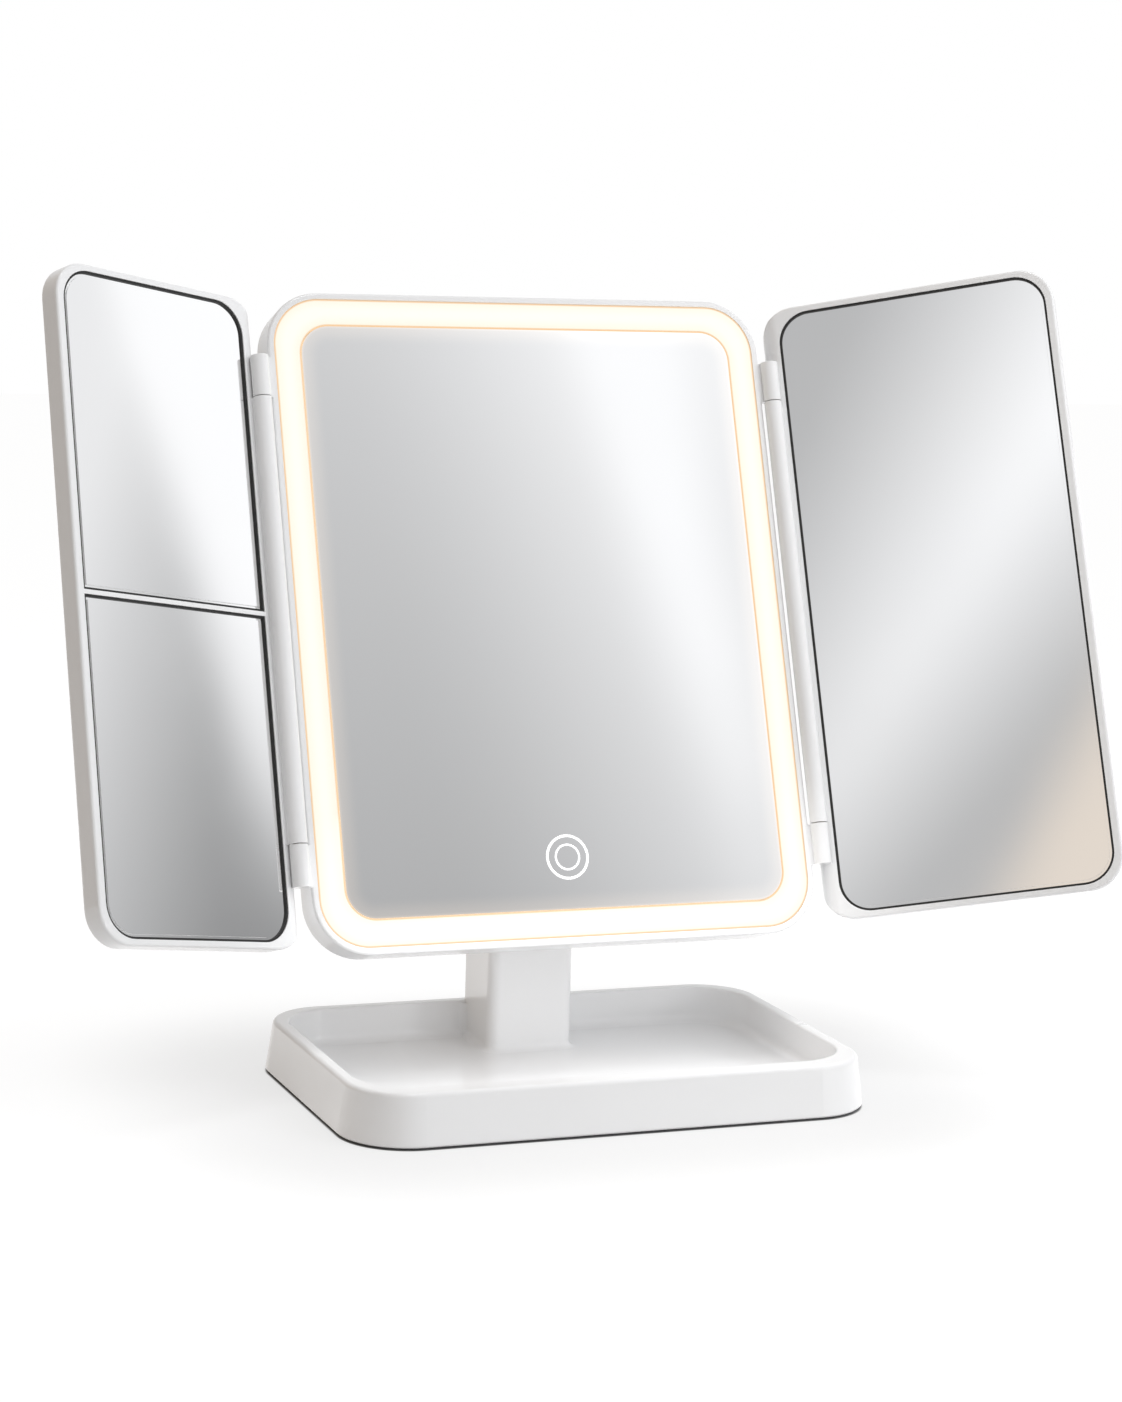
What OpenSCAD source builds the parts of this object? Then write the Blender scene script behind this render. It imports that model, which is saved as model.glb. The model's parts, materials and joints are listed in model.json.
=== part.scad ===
// Trifold vanity mirror on a tray base, in millimetres.
// A lit centre panel tilts on an upright at the back of the tray, and two side panels
// swing on its edges. The origin is at the middle of the underside of the rubber ring, with +X
// to the viewer's right, +Y to the back and +Z up. The panels are drawn lying flat with
// their fronts upwards, then stood up by on_head().

/* [Centre panel] */
// Width of the centre panel
panel_w = 185; // [185:1:200]
// Height of the centre panel
panel_h = 231.5; // [228:0.5:245]
// Thickness of the centre panel
panel_d = 14; // [14:0.5:16]
// Outer corner radius of the centre panel
panel_r = 19.5; // [18:0.5:22]
// Width of the plain lip round the light band
bezel_w = 2.3; // [2.2:0.1:3]
// Thickness of the centre panel's side wall
shell_wall = 1.7; // [1.5:0.1:1.9]
// Rounding of the centre panel's front edge
front_edge_r = 1; // [0.6:0.1:1.2]
// Rounding of the centre panel's back edge
back_edge_r = 1.2; // [0.8:0.1:1.3]

/* [Light and glass] */
// Width of the light band
band_w = 9.6; // [9:0.1:11]
// Thickness of the centre glass
glass_t = 3; // [2.5:0.1:3.2]
// Thickness of the light tray behind the glass
light_tray_t = 5.5; // [5:0.1:6]
// Radius of the outer ring of the touch mark
touch_ring_r = 7.4; // [6.5:0.1:8]
// Radius of the inner ring of the touch mark
touch_dot_r = 4.3; // [3.5:0.1:5]
// Height of the touch mark above the lower edge of the panel
touch_rise = 30.15; // [29.2:0.05:31.7]
// Corner radius of the centre glass
mirror_r = 10.3; // [8:0.1:12]

/* [Side panels] */
// Width of the left side panel
left_wing_w = 89.4; // [75:0.1:89.4]
// Width of the right side panel
right_wing_w = 107; // [85:0.1:107]
// Height of both side panels
wing_h = 225.5; // [210:0.5:226.5]
// Thickness of both side panels
wing_d = 8; // [8:0.1:9]
// Outer corner radius of the side panels
wing_r = 12.4; // [11.5:0.1:14]
// Border between glass and outer edge of a side panel
wing_border = 2.9; // [2.7:0.1:3.4]
// Border between glass and upper or lower edge of a side panel
wing_end_border = 2.3; // [2.1:0.1:2.6]
// Border between glass and hinge edge of a side panel
wing_hinge_border = 6.8; // [6.7:0.1:8]
// Thickness of the side panels' glass
wing_glass_t = 2; // [1.8:0.1:2.2]
// Height of the dividing bar above the middle of the left side panel
divider_lift = 1.5; // [-10:0.5:10]
// Width of the dividing bar
divider_w = 1.5; // [1.4:0.1:2.5]

/* [Side hinges] */
// Radius of the hinge barrels
barrel_r = 3.15; // [2.9:0.05:3.2]
// Radius of the hinge pins
pin_r = 1; // [0.9:0.05:1.05]
// Half length of the long middle barrel
barrel_half = 77.4; // [74:0.2:78]
// Length of each short outer knuckle
knuckle_l = 14.4; // [12:0.2:15]
// Length of each pin inside the long barrel
pin_grip = 10; // [8:0.5:12]

/* [Pose in the photograph] */
// Backward lean of the centre panel
tilt = 20; // [2:1:40]
// Forward fold of the left side panel
left_fold = 28; // [0:1:180]
// Forward fold of the right side panel
right_fold = 34.5; // [0:0.5:180]

/* [Tray base] */
// Width of the base at its foot
base_w = 188; // [180:1:210]
// Depth of the base at its foot
base_d = 127; // [126:1:140]
// Height of the tray rim above the table
base_h = 18.4; // [17.4:0.2:22]
// Corner radius of the base at its foot
base_r = 23.3; // [22:0.1:26]
// Inward slope of the outer wall from foot to rim
base_draft = 2.2; // [1.8:0.1:2.4]
// Height of the tray floor above the table
floor_z = 5.5; // [5.5:0.1:6]
// Width of the rim at both sides
rim_side = 4.8; // [4.6:0.1:6.8]
// Width of the rim at the back
rim_back = 5.3; // [5.1:0.1:6.8]
// Width of the rim at the front
rim_front = 7.8; // [5.8:0.1:9.8]
// Corner radius of the tray opening
open_r = 20; // [18:0.5:22]
// Rounding between the tray wall and floor
floor_fillet = 3; // [2:0.1:4]

/* [Upright] */
// Width of the upright
column_w = 31.6; // [31.6:0.2:36]
// Depth of the upright
column_d = 30; // [30:0.2:31]
// Height of the upright's shoulder
shoulder_z = 95; // [93:0.5:95.5]
// Height of the tilt axis
pivot_z = 108; // [108:0.5:114]
// Distance of the tilt axis behind the front of the upright
pivot_inset = 13; // [12.8:0.1:13.6]
// Distance of the tilt axis behind the back of the centre panel
pivot_back = 17.05; // [16.8:0.05:19]
// Height of the tilt axis above the lower edge of the centre panel
pivot_rise = 69.95; // [68:0.05:71.5]
// Width of the knuckle on top of the upright
knob_w = 19.4; // [18.6:0.1:19.8]
// Radius of the tilt knuckle and ears
knob_r = 10; // [9.5:0.1:10.5]
// Radius of the tilt bolt
bolt_r = 2.5; // [2:0.1:2.6]

/* [Hidden] */
$fn = 72;
over = 1;              // how far a cutter runs past the face it cuts
run_gap = 0.05;        // radial clearance of a shaft that turns
slip = 0.2;            // clearance round a part that drops into a pocket
seam = 0.4;            // gap between the ends of two hinge barrels

foot_lift = 0.8;                              // gap under the tray wall
wall = 1.6;                                   // moulded wall of the tray
rim_edge_r = 1.8;                             // outer rounding of the rim
rim_inner_r = 0.8;                            // inner rounding of the rim
bottom_edge = 0.5;                            // chamfer at the foot of the wall
top_w = base_w - 2 * base_draft;              // base at the rim
top_d = base_d - 2 * base_draft;
top_r = base_r - base_draft;
open_w = top_w - 2 * rim_side;                // tray opening
open_d = top_d - rim_front - rim_back;
open_y = (rim_front - rim_back) / 2;
open_back = open_y + open_d / 2;
plate_t = 1.6;                                // bottom plate
plate_top = foot_lift + plate_t;
plate_w = top_w - 2 * wall - slip;
plate_d = top_d - 2 * wall - slip;
plate_r = top_r - wall;
ballast_in = 24;                              // steel plate from the base's sides and ends
ballast_front = 16.5;
ballast_rear = 40.5;
ballast_t = 1.5;
ballast = [base_w - 2 * ballast_in, base_d - ballast_front - ballast_rear, ballast_t];
ballast_r = 6;
ballast_y = (ballast_front - ballast_rear) / 2;
foot_inset = 2;                               // rubber ring under the bottom plate
foot_w = 4;
foot_sink = 0.6;
base_screw_in = 34;                           // base screws from the base's sides and ends
base_screw_front = 14;
base_screw_rear = 18.5;
base_screw_x = base_w / 2 - base_screw_in;
base_screw_y = [base_screw_front - base_d / 2, base_d / 2 - base_screw_rear];
base_screw_r = 1.25;
base_screw_head_r = 2.5;
base_screw_head_t = 1;
base_screw_l = 4;

column_sink = 4;                              // how far the upright runs into the rear rim
column_back = open_back + column_sink;        // back face of the upright
column_front = column_back - column_d;
column_y = column_back - column_d / 2;
column_r = 4;
column_wall = 2;
column_foot_r = 2.5;
column_side = 3;                              // upright's side wall
cassette_bay_w = column_w - 2 * column_side;  // the cassette bay is as wide as its door
bay_front = column_front + column_wall;
bay_back = column_back - column_wall;
shelf_z = 21;                                 // floor of the cassette bay
shelf_t = 2;
cell_r = 5.25;
cell_l = 43.5;
cell_nub = [1.9, 1];
cell_pitch = 11.2;
contact_t = 0.4;
contact_r = 4.2;
spring_r = 3;
spring_wall = 0.8;
spring_l = 3;
cassette_end_t = 2;
cassette_web = 0.5;
cassette_w = cassette_bay_w - 2 * slip;
cassette_d = bay_back - bay_front - 2 * slip;
cassette_y = (bay_front + bay_back) / 2;
cells_l = cell_l + cell_nub[1] + 2 * contact_t + spring_l;
cassette_l = cells_l + 2 * cassette_end_t;
door_h = cassette_l + 2 * slip;
door_grip = 6;
door_rib = 0.6;
door_rib_pitch = 2;
door_ribs = 4;
board_t = 1.2;
inlet = [9, 7.2, 3.2];                        // width, depth and height of the power inlet
inlet_r = 1.5;
inlet_wall = 0.4;
inlet_back = base_d / 2 - base_draft - 0.4;
board_z = 7.8;
board_w = 22;
board_d = 20;
post_w = 3;
wire_r = 2.5;

pivot_y = column_front + pivot_inset;
pivot_drop = panel_h / 2 - pivot_rise;        // tilt axis below the middle of the panel
pivot_depth = panel_d + pivot_back;           // tilt axis behind the panel's front
washer_t = 0.5;
washer_r = 8;
ear_in = knob_w / 2 + washer_t;
ear_out = column_w / 2;
cap_t = 0.8;
cap_r = 4.7;
bolt_head_t = 2.6;
bolt_head_r = 4.3;
nut_t = 2.6;
nut_r = 4.6;
ear_recess = bolt_head_t + cap_t;
tilt_bushing_t = 1.5;
bushing_r = bolt_r + tilt_bushing_t;
bracket_lap = 2;                              // bracket plate past the ears
bracket_w = column_w + 2 * bracket_lap;
bracket_h = 48;
bracket_t = 2.5;
bracket_r = 4;
bracket_screw = [13, 18.5];
bracket_screw_r = 1.4;
bracket_head_r = 2.7;
bracket_head_t = 1.6;
bracket_screw_l = 6.5;
boss_r = 3.4;
boss_l = 3;

glass_z = -0.2;                               // front of the centre glass and light band
lip_t = 1.2;                                  // thickness of the lip over the light band
gap = 0.2;                                    // half gap between glass and light band
mirror_inset = bezel_w + band_w;
mirror_w = panel_w - 2 * (mirror_inset + gap);
mirror_h = panel_h - 2 * (mirror_inset + gap);
touch_drop = panel_h / 2 - touch_rise;        // touch mark below the middle of the panel
cavity_inset = shell_wall + 0.15;             // parts inside the centre panel's wall
tray_z = glass_z - glass_t;                   // front of the light tray
tray_back = tray_z - light_tray_t;
cover_t = 2;
cover_z = -panel_d + cover_t;                 // inner face of the rear cover
channel_in = 3.9;
channel_out = mirror_inset - 0.9;
channel_floor = 1.5;
channel_d = light_tray_t - channel_floor;
strip_t = 1;
strip_slip = 0.3;
led = [3.5, 2.8, 0.9];
led_pitch = 14;
tray_land = 4;                                // light tray's ledge under the glass edge
pocket_inset = mirror_inset + tray_land;
tray_skin = 2;
cover_boss_in = 32.5;                         // cover screws from the panel's side and ends
cover_boss_end = 25.75;
cover_boss_x = panel_w / 2 - cover_boss_in;
cover_boss_y = panel_h / 2 - cover_boss_end;
cover_screw_r = 1.25;
cover_head_r = 2.5;
cover_head_t = 1.2;
cover_screw_l = 6;
rib_l = 24;
rib_d = 0.6;
control = [44, 20, 1.2];
chip = [8, 8, 1.4];
chip_step = 13;
pad_r = 7;
pad_t = 0.3;
touch_spring_r = 2;
mark_depth = 0.15;
mark_line = 0.9;
mark_inner_line = 0.7;

hinge_out = 3.6;                              // hinge axis beyond the centre panel's edge
hinge_front = 1;                              // hinge axis in front of the centre panel
wing_edge = -2.4;                             // side panel's inner edge from the hinge axis
wing_set = 2.6;                               // side panel's front behind the hinge axis
wing_roll = 6.4;                              // rounding along a side panel's hinge edge
wing_front_r = 1;
wing_back_r = 1.2;
web_in = -1.5;                                // web between barrel and side panel
web_out = 2.5;
web_d = 4.5;
knuckle_web_d = 2.3;                          // web from the panel's edge to a knuckle
bushing_wall = 1.15;
glass_sink = 0.6;                             // side glass below its frame's front
tape_t = 0.5;
seal_w = 0.8;
seal_sink = 0.4;
pocket_d = glass_sink + wing_glass_t + tape_t;
shelf_w = 3.2;
bevel = [0.9, 0.4];
back_t = 1.6;
back_inset = 1.5;
glass_round = 1.3;                            // side glass corners rounder than the border asks
wing_glass_r = wing_r - wing_end_border + glass_round;
inner_r = 2.5;
wing_screw_in = 4.3;
wing_screw_out = 4.3;
wing_screw_end = 18;
wing_screw_y = wing_h / 2 - wing_screw_end;
wing_screw_r = 0.9;
wing_screw_head_r = 1.8;
wing_screw_head_t = 1;
wing_screw_l = 3.6;

// ---------- shared shapes ----------

// A rectangle with rounded corners
module round_rect(w, h, r) {
    square([w - 2 * r, h], center = true);
    square([w, h - 2 * r], center = true);
    for (sx = [-1, 1], sy = [-1, 1])
        translate([sx * (w / 2 - r), sy * (h / 2 - r)]) circle(r);
}

// A flat plate whose upper face is at height top
module plate(w, h, r, t, top = 0) {
    translate([0, 0, top - t]) linear_extrude(t) round_rect(w, h, r);
}

// A flat rounded ring between two insets from one outline
module inset_ring(w, h, r, from, to, t, top) {
    difference() {
        plate(w - 2 * from, h - 2 * from, r - from, t, top);
        plate(w - 2 * to, h - 2 * to, max(r - to, inner_r), t + 2 * over, top + over);
    }
}

// Sweeps a profile, drawn outwards from the corner centre, round a rounded rectangle
module sweep_round(w, h, r) {
    for (i = [0:3]) {
        sx = (i == 0 || i == 3) ? 1 : -1;
        sy = (i < 2) ? 1 : -1;
        translate([sx * (w / 2 - r), sy * (h / 2 - r), 0])
            rotate([0, 0, 90 * i]) rotate_extrude(angle = 90) children();
    }
    for (turn = [0, 180]) rotate([0, 0, turn]) {
        translate([w / 2 - r, 0, 0]) rotate([90, 0, 0])
            linear_extrude(h - 2 * r, center = true) children();
        rotate([0, 0, 90]) translate([h / 2 - r, 0, 0]) rotate([90, 0, 0])
            linear_extrude(w - 2 * r, center = true) children();
    }
}

// Half section of a slab's edge with rounded front and back corners
module edge_profile(reach, d, front, back) {
    translate([0, -d + back]) square([reach, d - front - back]);
    if (front > 0) {
        translate([0, -front]) square([reach - front, front]);
        translate([reach - front, -front]) circle(front);
    }
    if (back > 0) {
        translate([0, -d]) square([reach - back, back]);
        translate([reach - back, back - d]) circle(back);
    }
}

// A slab with rounded corners and rounded front and back edges, front face at z = 0
module soft_slab(w, h, d, r, front, back) {
    sweep_round(w, h, r) edge_profile(r, d, front, back);
    translate([-(w / 2 - r), -(h / 2 - r), -d]) cube([w - 2 * r, h - 2 * r, d]);
}

// A countersunk screw with its head's face at z = 0 and its point downwards
module screw(shaft_r, head_r, head_t, l) {
    translate([0, 0, -head_t]) cylinder(h = head_t, r1 = shaft_r, r2 = head_r);
    translate([0, 0, -l]) cylinder(h = l - head_t, r = shaft_r);
}

// The hole that such a screw passes through and seats in
module screw_seat(shaft_r, head_r, head_t, l) {
    translate([0, 0, -head_t]) cylinder(h = head_t, r1 = shaft_r + run_gap, r2 = head_r + run_gap);
    translate([0, 0, -l]) cylinder(h = l - head_t + run_gap, r = shaft_r + run_gap);
}

// A ring with its base at z = 0
module ring(outer, inner, h) {
    difference() {
        cylinder(h = h, r = outer);
        translate([0, 0, -over]) cylinder(h = h + 2 * over, r = inner);
    }
}

// ---------- places ----------

// Panel coordinates: x to the right, y up the panel, z out of the front
module on_head() {
    translate([0, pivot_y, pivot_z]) rotate([90 - tilt, 0, 0])
        translate([0, pivot_drop, pivot_depth]) children();
}

// Side panel coordinates, measured outwards, upwards and forwards from the hinge axis
module on_wing(side, fold) {
    on_head() mirror([side < 0 ? 1 : 0, 0, 0])
        translate([panel_w / 2 + hinge_out, 0, hinge_front]) rotate([0, -fold, 0]) children();
}

// The side panel's own middle, at its front face
module at_wing_face(w) {
    translate([wing_edge + w / 2, 0, -wing_set]) children();
}

// Tilt axis in panel coordinates, pointing along +X
module on_tilt_axis() {
    translate([0, -pivot_drop, -pivot_depth]) rotate([0, 90, 0]) children();
}

// Places on both hinge sides of the centre panel, at both ends
module at_knuckles() {
    for (side = [0, 1], end = [0, 1]) mirror([side, 0, 0]) mirror([0, end, 0])
        translate([panel_w / 2 + hinge_out, barrel_half + seam, hinge_front]) rotate([-90, 0, 0])
            children();
}

// ---------- base ----------

module tray_outline_profile() {
    polygon([
        [0, foot_lift], [base_r - bottom_edge, foot_lift], [base_r, foot_lift + bottom_edge],
        [top_r, base_h - rim_edge_r], [top_r - rim_edge_r, base_h], [0, base_h]
    ]);
    translate([top_r - rim_edge_r, base_h - rim_edge_r]) circle(rim_edge_r);
}

module tray_body() {
    // the profile is measured from the corner centre, which is the same at foot and rim
    sweep_round(base_w, base_d, base_r) tray_outline_profile();
    translate([-(base_w / 2 - base_r), -(base_d / 2 - base_r), foot_lift])
        cube([base_w - 2 * base_r, base_d - 2 * base_r, base_h - foot_lift]);
}

module tray_recess() {
    translate([0, open_y, base_h + over])
        soft_slab(open_w, open_d, base_h + over - floor_z, open_r, 0, floor_fillet);
    // rounded inner edge of the rim
    translate([0, open_y, 0]) sweep_round(open_w, open_d, open_r) difference() {
        translate([open_r - over, base_h - rim_inner_r]) square([rim_inner_r + over, rim_inner_r + over]);
        translate([open_r + rim_inner_r, base_h - rim_inner_r]) circle(rim_inner_r);
    }
}

module column_outline() {
    translate([0, column_y]) round_rect(column_w, column_d, column_r);
}

module column_body() {
    translate([0, 0, plate_top]) linear_extrude(shoulder_z - plate_top) column_outline();
    // rounded foot on the tray floor
    translate([0, column_y, 0]) sweep_round(column_w, column_d, column_r) difference() {
        translate([column_r - over, floor_z - over]) square([column_foot_r + over, column_foot_r + over]);
        translate([column_r + column_foot_r, floor_z + column_foot_r]) circle(column_foot_r);
    }
    // rounded corners where the upright meets the tray's back wall
    for (side = [0, 1]) mirror([side, 0, 0])
        translate([0, 0, floor_z - over]) linear_extrude(base_h - rim_inner_r - floor_z + over)
            translate([column_w / 2, open_back]) difference() {
                translate([-over, -column_foot_r]) square([column_foot_r + over, column_foot_r + over]);
                translate([column_foot_r, -column_foot_r]) circle(column_foot_r);
            }
    // knuckle for the tilt bolt
    translate([0, pivot_y, pivot_z]) rotate([0, 90, 0]) cylinder(h = knob_w, r = knob_r, center = true);
    translate([-knob_w / 2, pivot_y - knob_r, shoulder_z - over])
        cube([knob_w, 2 * knob_r, pivot_z - shoulder_z + over]);
}

module underside_hollows() {
    plate(plate_w + slip, plate_d + slip, plate_r, plate_t + over, plate_top);
    // hollow rim, kept clear of the upright
    difference() {
        translate([0, 0, plate_top - over]) linear_extrude(base_h - wall - plate_top + over) difference() {
            round_rect(top_w - 2 * wall, top_d - 2 * wall, top_r - wall);
            translate([0, open_y]) round_rect(open_w + 2 * wall, open_d + 2 * wall, open_r + wall);
        }
        translate([-column_w / 2 - 2 * column_foot_r, open_back - over, 0])
            cube([column_w + 4 * column_foot_r, base_d / 2, base_h]);
    }
    translate([0, ballast_y, 0])
        plate(ballast[0] + slip, ballast[1] + slip, ballast_r, ballast[2] + over, plate_top + ballast[2]);
    for (x = [-1, 1], y = base_screw_y)
        translate([x * base_screw_x, y, foot_lift])
            mirror([0, 0, 1]) screw_seat(base_screw_r, base_screw_head_r, base_screw_head_t, base_screw_l);
}

module column_hollows() {
    bay = [cassette_bay_w, bay_back - bay_front];
    translate([-bay[0] / 2, bay_front, shelf_z])
        cube([bay[0], bay[1], shoulder_z - column_wall - shelf_z]);
    translate([-bay[0] / 2, bay_front, plate_top - over])
        cube([bay[0], bay[1], shelf_z - shelf_t - plate_top + over]);
    translate([-bay[0] / 2, bay_back - over, shelf_z]) cube([bay[0], column_wall + 2 * over, door_h]);
    // wire ways through the shelf and the shoulder
    translate([0, bay_front + wire_r + 1, shelf_z - shelf_t - over]) cylinder(h = shelf_t + 2 * over, r = wire_r);
    translate([0, bay_back - wire_r - 0.5, shoulder_z - column_wall - over])
        cylinder(h = column_wall + 2 * over, r = wire_r - 0.5);
    // power inlet and tilt bushing
    translate([0, bay_back - over, board_z + board_t + inlet[2] / 2]) rotate([-90, 0, 0])
        linear_extrude(base_d / 2) round_rect(inlet[0] + slip, inlet[2] + slip, inlet_r);
    translate([0, pivot_y, pivot_z]) rotate([0, 90, 0])
        cylinder(h = knob_w + 2 * over, r = bushing_r, center = true);
}

module base_tray() {
    color("white") difference() {
        union() {
            difference() {
                tray_body();
                tray_recess();
                underside_hollows();
            }
            column_body();
        }
        column_hollows();
    }
}

module base_bottom_plate() {
    color("gainsboro") difference() {
        union() {
            plate(plate_w, plate_d, plate_r - slip / 2, plate_t, plate_top);
            // posts under the power board
            for (side = [-1, 1])
                translate([side * (board_w - post_w) / 2 - post_w / 2, cassette_y - board_d / 2, foot_lift])
                    cube([post_w, board_d, board_z - foot_lift]);
        }
        for (x = [-1, 1], y = base_screw_y) translate([x * base_screw_x, y, foot_lift])
            mirror([0, 0, 1]) screw_seat(base_screw_r, base_screw_head_r, base_screw_head_t, base_screw_l);
        inset_ring(plate_w, plate_d, plate_r, foot_inset, foot_inset + foot_w, foot_sink + over,
                   foot_lift + foot_sink);
    }
}

module ballast_plate() {
    color("dimgray") translate([0, ballast_y, 0])
        plate(ballast[0], ballast[1], ballast_r, ballast[2], plate_top + ballast[2]);
}

module rubber_foot_ring() {
    color("dimgray") inset_ring(plate_w, plate_d, plate_r, foot_inset, foot_inset + foot_w,
                                foot_lift + foot_sink, foot_lift + foot_sink);
}

module base_screws() {
    color("silver") for (x = [-1, 1], y = base_screw_y)
        translate([x * base_screw_x, y, foot_lift]) mirror([0, 0, 1])
            screw(base_screw_r, base_screw_head_r, base_screw_head_t, base_screw_l - 2 * run_gap);
}

module at_cells() {
    for (x = [-1, 1], y = [-1, 1])
        translate([x * cell_pitch / 2, cassette_y + y * cell_pitch / 2, shelf_z + cassette_end_t])
            children();
}

module battery_cassette() {
    z_in = shelf_z + cassette_end_t;
    color("dimgray") union() {
        for (z = [shelf_z, z_in + cells_l])
            translate([-cassette_w / 2, cassette_y - cassette_d / 2, z])
                cube([cassette_w, cassette_d, cassette_end_t]);
        translate([-cassette_web / 2, cassette_y - cassette_d / 2, shelf_z])
            cube([cassette_web, cassette_d, cassette_l]);
        translate([-cassette_w / 2, cassette_y - cassette_web / 2, shelf_z])
            cube([cassette_w, cassette_web, cassette_l]);
    }
}

module battery_cells() {
    color("steelblue") at_cells() translate([0, 0, contact_t + spring_l]) union() {
        cylinder(h = cell_l, r = cell_r);
        cylinder(h = cell_l + cell_nub[1], r = cell_nub[0]);
    }
}

module battery_contacts() {
    color("silver") at_cells() {
        union() {
            cylinder(h = contact_t, r = contact_r);
            ring(spring_r, spring_r - spring_wall, contact_t + spring_l);
        }
        translate([0, 0, cells_l - contact_t]) cylinder(h = contact_t, r = contact_r);
    }
}

module battery_door() {
    color("white") union() {
        translate([-cassette_bay_w / 2 + slip, bay_back, shelf_z + slip])
            cube([cassette_bay_w - 2 * slip, column_wall, door_h - 2 * slip]);
        for (i = [0:door_ribs - 1])
            translate([-door_grip, column_back - over, shelf_z + door_h - door_grip - i * door_rib_pitch])
                cube([2 * door_grip, over + door_rib, door_rib]);
    }
}

module power_board() {
    color("darkgreen") translate([-board_w / 2, cassette_y - board_d / 2, board_z])
        cube([board_w, board_d, board_t]);
}

module power_inlet() {
    color("silver") translate([0, inlet_back, board_z + board_t + inlet[2] / 2]) rotate([90, 0, 0])
        difference() {
            linear_extrude(inlet[1]) round_rect(inlet[0], inlet[2], inlet_r);
            translate([0, 0, -over]) linear_extrude(inlet[1])
                round_rect(inlet[0] - 2 * inlet_wall, inlet[2] - 2 * inlet_wall, inlet_r - inlet_wall);
        }
}

module tilt_bushing() {
    color("ivory") translate([-knob_w / 2, pivot_y, pivot_z]) rotate([0, 90, 0])
        ring(bushing_r, bolt_r + run_gap, knob_w);
}

// ---------- tilt hinge ----------

module tilt_ear() {
    difference() {
        union() {
            translate([ear_in, -pivot_drop, -pivot_depth]) rotate([0, 90, 0])
                cylinder(h = ear_out - ear_in, r = knob_r);
            translate([ear_in, -pivot_drop - knob_r, -pivot_depth])
                cube([ear_out - ear_in, 2 * knob_r, pivot_back - bracket_t + over]);
        }
        translate([0, -pivot_drop, -pivot_depth]) rotate([0, 90, 0]) {
            cylinder(h = column_w, r = bolt_r + run_gap);
            translate([0, 0, ear_out - cap_t]) cylinder(h = column_w, r = cap_r + run_gap);
        }
    }
}

module bracket_screws_at() {
    for (x = [-1, 1], y = [-1, 1])
        translate([x * bracket_screw[0], y * bracket_screw[1] - pivot_drop, -panel_d - bracket_t])
            mirror([0, 0, 1]) children();
}

module tilt_bracket() {
    color("white") on_head() difference() {
        union() {
            translate([0, -pivot_drop, -panel_d]) plate(bracket_w, bracket_h, bracket_r, bracket_t);
            for (side = [0, 1]) mirror([side, 0, 0]) tilt_ear();
        }
        translate([0, -pivot_drop, -pivot_depth]) {
            rotate([0, -90, 0]) translate([0, 0, ear_out - ear_recess])
                cylinder(h = ear_recess + over, r = bolt_head_r + slip);
            rotate([0, 90, 0]) translate([0, 0, ear_out - ear_recess])
                cylinder(h = ear_recess, r = nut_r, $fn = 6);
        }
        bracket_screws_at()
            screw_seat(bracket_screw_r, bracket_head_r, bracket_head_t, bracket_screw_l);
        translate([0, -pivot_drop - bracket_screw[1], -panel_d - bracket_t - over])
            cylinder(h = bracket_t + 2 * over, r = wire_r);
    }
}

module bracket_screws() {
    color("silver") on_head() bracket_screws_at()
        screw(bracket_screw_r, bracket_head_r, bracket_head_t, bracket_screw_l - 2 * run_gap);
}

module tilt_bolt() {
    color("silver") on_head() on_tilt_axis() union() {
        translate([0, 0, -ear_out + ear_recess])
            cylinder(h = 2 * (ear_out - ear_recess) + nut_t, r = bolt_r);
        translate([0, 0, -ear_out + cap_t]) cylinder(h = bolt_head_t, r = bolt_head_r);
    }
}

module tilt_nut() {
    color("silver") on_head() on_tilt_axis() translate([0, 0, ear_out - ear_recess]) difference() {
        cylinder(h = nut_t, r = nut_r, $fn = 6);
        translate([0, 0, -over]) cylinder(h = nut_t + 2 * over, r = bolt_r);
    }
}

module friction_washers() {
    color("dimgray") on_head() on_tilt_axis() for (side = [0, 1]) mirror([0, 0, side])
        translate([0, 0, knob_w / 2]) ring(washer_r, bolt_r + run_gap, washer_t);
}

module hinge_caps() {
    color("white") on_head() on_tilt_axis() for (side = [0, 1]) mirror([0, 0, side])
        translate([0, 0, ear_out - cap_t]) cylinder(h = cap_t, r = cap_r);
}

// ---------- centre panel ----------

module at_cover_bosses() {
    for (x = [-1, 1], y = [-1, 0, 1]) translate([x * cover_boss_x, y * cover_boss_y, 0]) children();
}

module cover_screws_at() {
    at_cover_bosses() translate([0, 0, -panel_d]) mirror([0, 0, 1]) children();
}

module rear_cover() {
    color("white") on_head() difference() {
        union() {
            plate(panel_w - 2 * cavity_inset, panel_h - 2 * cavity_inset, panel_r - cavity_inset,
                  cover_t, cover_z);
            for (x = [-1, 1], y = [-1, 1])
                translate([x * bracket_screw[0], y * bracket_screw[1] - pivot_drop, cover_z - over])
                    cylinder(h = boss_l + over, r = boss_r);
        }
        cover_screws_at() screw_seat(cover_screw_r, cover_head_r, cover_head_t, cover_screw_l);
        bracket_screws_at()
            screw_seat(bracket_screw_r, bracket_head_r, bracket_head_t, bracket_screw_l);
        translate([0, -pivot_drop - bracket_screw[1], -panel_d - over])
            cylinder(h = cover_t + 2 * over, r = wire_r);
    }
}

module rear_cover_screws() {
    color("silver") on_head() cover_screws_at()
        screw(cover_screw_r, cover_head_r, cover_head_t, cover_screw_l - 2 * run_gap);
}

module frame_knuckles() {
    at_knuckles() union() {
        cylinder(h = knuckle_l, r = barrel_r);
        translate([-hinge_out - shell_wall, hinge_front, 0])
            cube([hinge_out + shell_wall, knuckle_web_d, knuckle_l]);
    }
}

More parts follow.
